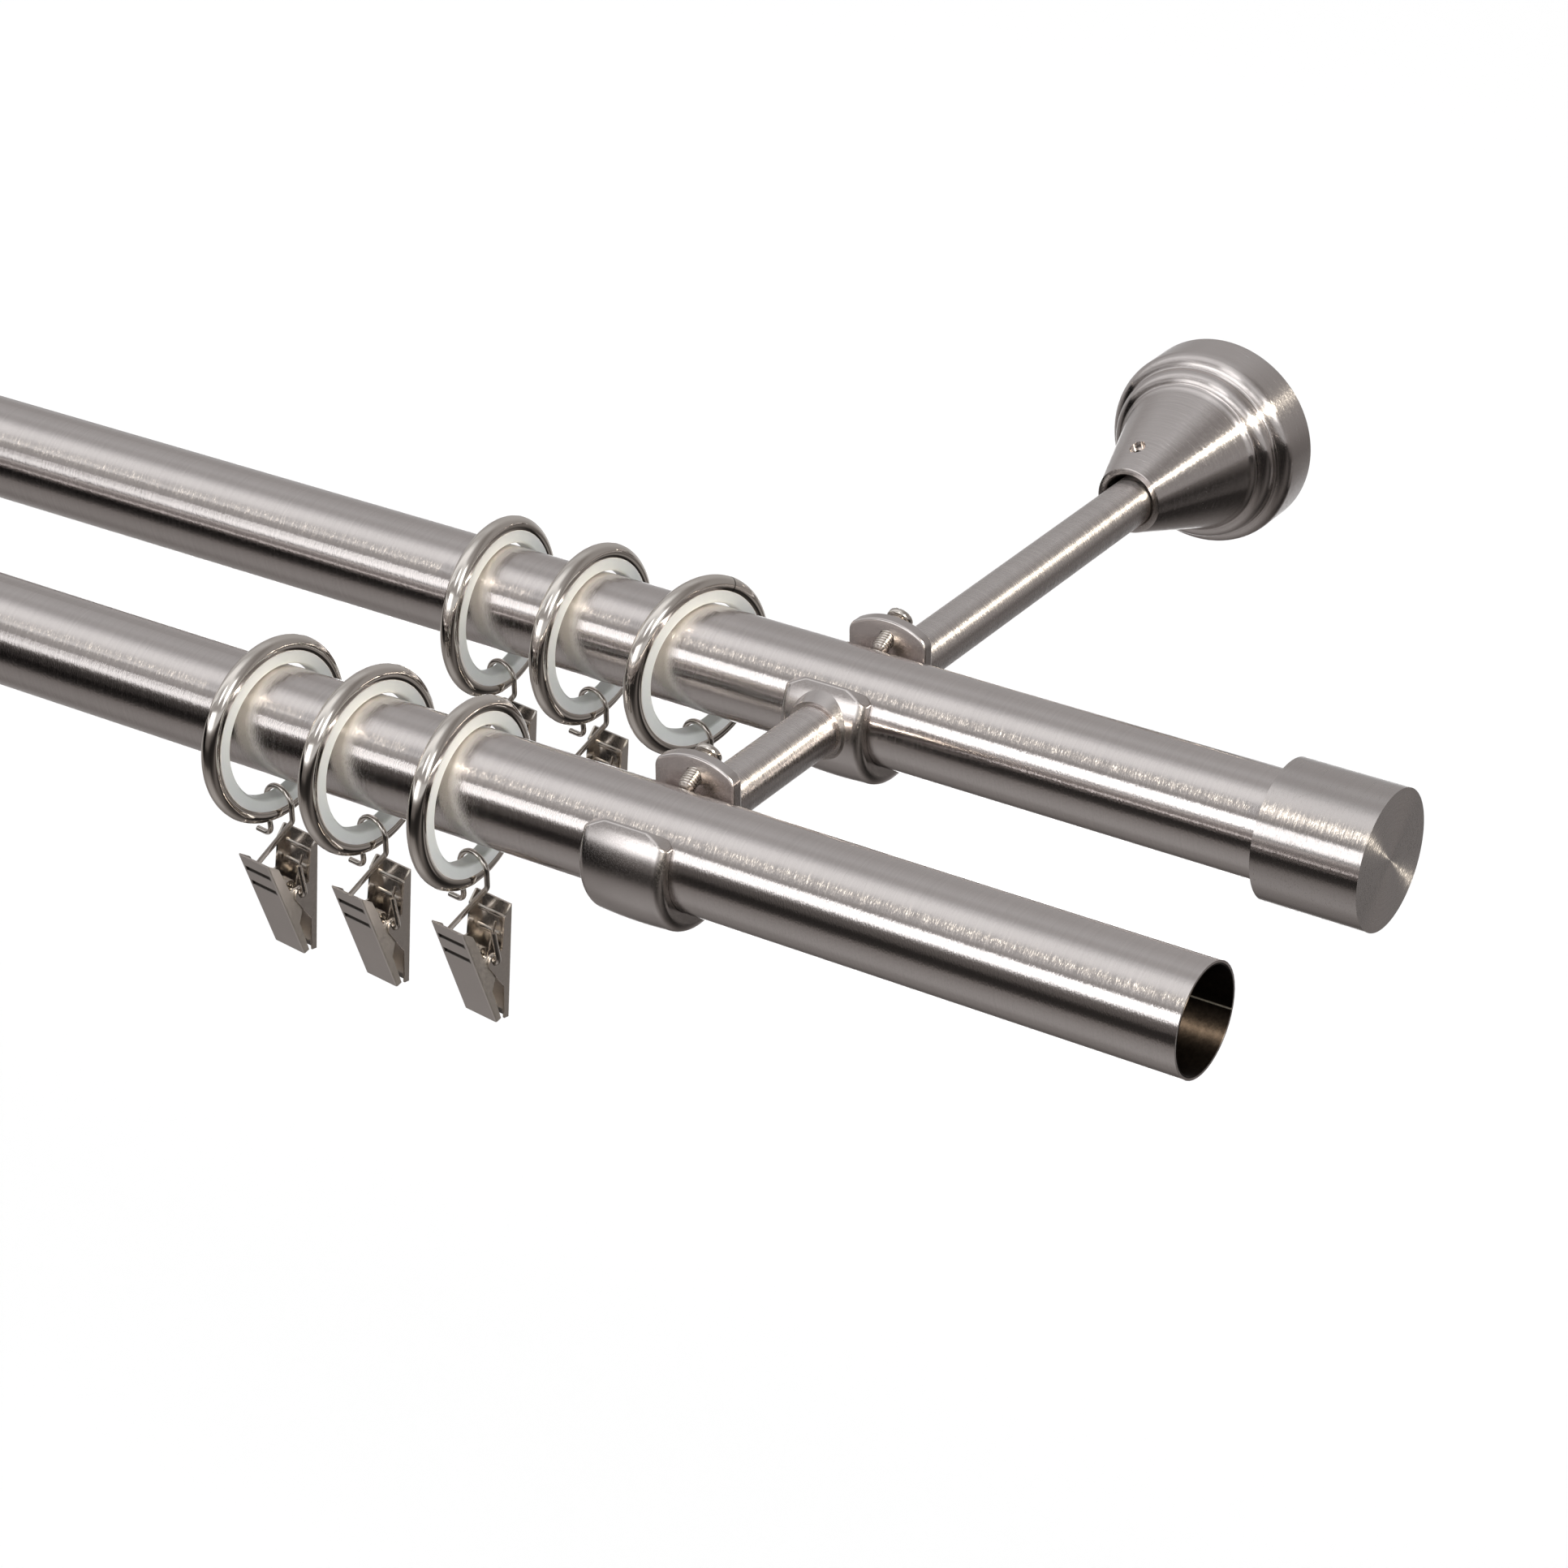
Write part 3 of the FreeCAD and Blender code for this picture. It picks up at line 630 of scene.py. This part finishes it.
def make_rosette(node, x, hand):
    obj = turned_rosette(node + "_turned", hand)
    place = Vector((x + hand * rosette_shift.x, 0, rosette_shift.z))
    placed(obj, place, Matrix.Identity(4), rosette_metal, rosette_sharp)
    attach(obj, "pole_frame")
    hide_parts(node)


make_rosette("right_rosette", bracket_x, 1)
make_rosette("left_rosette", -bracket_x, -1)


# Clip springs, with the wire's real turns; each front leg moves with the front jaw

coil_radius = 1.85
coil_wire = 0.35
coil_half = 1.75
coil_turns = 4.5
coil_steps = 22
wire_sides = 10
wire_sharp = 50
leg_height = 7.6
leg_reach = 3.7


def wire_along(name, path):
    """The spring's round wire through the points."""
    mesh = bmesh.new()
    rows = []
    side = None
    for number, point in enumerate(path):
        before = path[max(number - 1, 0)]
        after = path[min(number + 1, len(path) - 1)]
        along = (after - before).normalized()
        if side is None:
            side = along.orthogonal().normalized()
        side = (side - along * side.dot(along)).normalized()
        other = along.cross(side)
        row = []
        for step in range(wire_sides):
            angle = 2 * math.pi * step / wire_sides
            row.append(mesh.verts.new(point + (side * math.cos(angle) + other * math.sin(angle)) * coil_wire))
        rows.append(row)
    skin(mesh, rows)
    closed(mesh, rows)
    return object_from(mesh, name)


def coil_path():
    path = []
    steps = int(coil_turns * coil_steps)
    for step in range(steps + 1):
        angle = math.pi + 2 * math.pi * coil_turns * step / steps
        x = -coil_half + 2 * coil_half * step / steps
        path.append(Vector((x, coil_radius * math.cos(angle), coil_radius * math.sin(angle))))
    return path


def leg_tip(side):
    """The end of a leg: -1 the front one, 1 the rear one."""
    lean = Matrix.Rotation(math.radians(-side * jaw_half_angle), 3, "X")
    return lean @ Vector((side * coil_half, side * leg_reach, leg_height))


def make_spring(base, pin):
    coil = coil_path()
    front = wire_along(base + "_spring_leg", [coil[0], leg_tip(-1)])
    rear = wire_along(base + "_spring_coil", coil + [leg_tip(1)])
    tilt = Matrix.Rotation(math.radians(clip_tilt), 4, "X")
    turn = Matrix.Rotation(math.radians(hook_yaw), 4, "Z") @ tilt
    for obj, body in ((front, "_jaw_body"), (rear, "_clip_body")):
        placed(obj, pin, turn, spring_metal, wire_sharp)
        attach(obj, base + body)
        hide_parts(base + "_spring")


for base, pin in ring_pins():
    make_spring(base, pin)


# Floor

floor_size = 30
floor_height = -0.45
floor_white = (0.97, 0.97, 0.97, 1)


def make_floor():
    bpy.ops.mesh.primitive_plane_add(size=floor_size, location=(0, 0, floor_height))
    floor = bpy.context.object
    floor.name = "floor"
    material, tree, shader = new_material("floor_paint")
    shader.inputs["Base Color"].default_value = floor_white
    shader.inputs["Roughness"].default_value = 0.9
    shader.inputs["Specular IOR Level"].default_value = 0.0
    floor.data.materials.append(material)
    floor.visible_glossy = False


# Brightness of the studio seen in the metal, by the angle about the poles: 0 is the room, 90 is up.
# It differs toward the left end, in the middle and toward the right end. The levels were written
# from the photo's brightness, measured by direction, and then tuned against it. Each list can be set to
# [(-180, 0.5), (180, 0.5)] instead, for a plain flat light.
left_bands = [
    (-180, 0.5), (-150, 0.5), (-120, 0.4), (-106, 0.3), (-90, 0.22), (-69, 0.28), (-43, 0.2), (-36, 0.05),
    (-22, 0.004), (-6, 0.0), (2, 0.03), (10, 0.27), (17, 0.82), (24, 0.32), (30, 0.3), (36, 0.45), (44, 0.42),
    (51, 0.95), (57, 0.75), (78, 1.05), (95, 0.74), (110, 0.5), (122, 0.56), (140, 0.47), (165, 0.4),
    (180, 0.5)]
middle_bands = [
    (-180, 0.45), (-150, 0.75), (-133, 0.3), (-118, 0.12), (-106, 0.2), (-85, 0.3), (-69, 0.4), (-43, 0.3),
    (-34, 0.2), (-26, 0.05), (-16, 0.035), (-6, 0.13), (3, 0.2), (8, 0.45), (13, 1.9), (17, 2.4), (27, 2.4),
    (31, 1.0), (35, 0.38), (43, 0.5), (51, 0.46), (57, 0.53), (78, 1.05), (95, 0.74), (110, 0.5), (122, 0.56),
    (140, 0.47), (165, 0.46), (180, 0.45)]
right_bands = [
    (-180, 0.3), (-165, 0.2), (-150, 0.12), (-138, 0.03), (-120, 0.02), (-98, 0.06), (-70, 0.14), (-50, 0.08),
    (-35, 0.03), (-12, 0.02), (-2, 0.07), (8, 0.3), (15, 0.6), (25, 0.6), (33, 0.4), (42, 0.4), (52, 0.85),
    (66, 0.85), (76, 0.45), (95, 0.34), (120, 0.25), (140, 0.33), (165, 0.34), (180, 0.3)]
brightest_band = 3.0

# Where the bands give way to the next ones, by the direction's part along the poles
middle_starts = (-0.64, -0.47)
right_starts = (0.0, 0.45)

# Small lights seen in the metal: direction, cosine at their edge and at their core, strength
lamp_direction = Vector((0.774, -0.346, 0.531))
glows = [
    (lamp_direction, 0.955, 0.997, 3.0),
    (Vector((0.0, -0.634, 0.773)), 0.97, 0.99, 1.6),
    (Vector((-0.483, 0.732, -0.48)), 0.96, 0.985, 2.0),
    (Vector((0.676, 0.568, -0.469)), 0.975, 0.99, 0.2),
]

# Dim parts of the studio are a little warm, by the ratio of two colours measured in the photo
warm_colour = (1.0, 0.905, 0.854)
warm_levels = (0.1, 0.6)
white = (1, 1, 1)


def band_ramp(tree, share, bands):
    """A smooth curve through the bands, over the whole turn."""
    curve = tree.nodes.new("ShaderNodeFloatCurve")
    points = curve.mapping.curves[0].points
    spots = [((degrees + 180) / 360, level / brightest_band) for degrees, level in bands]
    points[0].location = spots[0]
    points[1].location = spots[-1]
    for spot in spots[1:-1]:
        points.new(*spot)
    for point in points:
        point.handle_type = "AUTO_CLAMPED"
    curve.mapping.update()
    tree.links.new(share, curve.inputs["Value"])
    return calculated(tree, "MULTIPLY", curve.outputs["Value"], brightest_band)


def glow_toward(tree, place, direction, edge, core):
    """A soft round light in one direction."""
    toward = tree.nodes.new("ShaderNodeVectorMath")
    toward.operation = "DOT_PRODUCT"
    toward.inputs[1].default_value = direction
    tree.links.new(place, toward.inputs[0])
    glow = ramped(tree, toward.outputs["Value"], 0.0, 1.0, edge, core)
    return calculated(tree, "MULTIPLY", glow, glow)


def make_world():
    """A soft studio: white to the camera and for shading, banded softboxes in the reflections."""
    world = bpy.data.worlds.new("studio")
    bpy.context.scene.world = world
    world.use_nodes = True
    tree = world.node_tree
    background = tree.nodes["Background"]
    place = tree.nodes.new("ShaderNodeTexCoord").outputs["Generated"]
    x, y, z = split_up(tree, place)
    turn = calculated(tree, "ARCTAN2", z, calculated(tree, "MULTIPLY", y, -1.0))
    share = ramped(tree, turn, 0.0, 1.0, -math.pi, math.pi)
    level = band_ramp(tree, share, left_bands)
    for bands, starts in ((middle_bands, middle_starts), (right_bands, right_starts)):
        level = blended(tree, ramped(tree, x, 0.0, 1.0, *starts), level, band_ramp(tree, share, bands))
    for direction, edge, core, strength in glows:
        glow = glow_toward(tree, place, direction, edge, core)
        level = calculated(tree, "ADD", level, calculated(tree, "MULTIPLY", glow, strength))
    warm = tinted(tree, ramped(tree, level, 0.0, 1.0, *warm_levels), warm_colour, white)
    glossy = tree.nodes.new("ShaderNodeLightPath").outputs["Is Glossy Ray"]
    tree.links.new(tinted(tree, glossy, white, warm), background.inputs["Color"])
    tree.links.new(blended(tree, glossy, 1.0, level), background.inputs["Strength"])


# Lamps, in metres and watts
lamp_target = Vector((0.4, -0.2, 0))
key_place = Vector((-0.4, -1.4, 1.8))
key_size = 1.2
key_power = 8
spot_distance = 2.6
spot_place = lamp_target + lamp_direction * spot_distance
spot_size = 0.1
spot_power = 200
spot_colour = (1, 0.93, 0.78)


def make_lamp(name, place, size, power, colour, in_gloss):
    """A square lamp, seen only in the gloss or only in the shading."""
    data = bpy.data.lights.new(name, "AREA")
    data.shape = "SQUARE"
    data.size = size
    data.energy = power
    data.color = colour
    lamp = bpy.data.objects.new(name, data)
    lamp.location = place
    lamp.rotation_euler = (lamp_target - place).to_track_quat("-Z", "Y").to_euler()
    lamp.visible_glossy = in_gloss
    lamp.visible_diffuse = not in_gloss
    bpy.context.collection.objects.link(lamp)


make_floor()
make_world()
make_lamp("key_lamp", key_place, key_size, key_power, white, False)
make_lamp("spot_lamp", spot_place, spot_size, spot_power, spot_colour, True)
bpy.context.scene.view_settings.view_transform = "Standard"
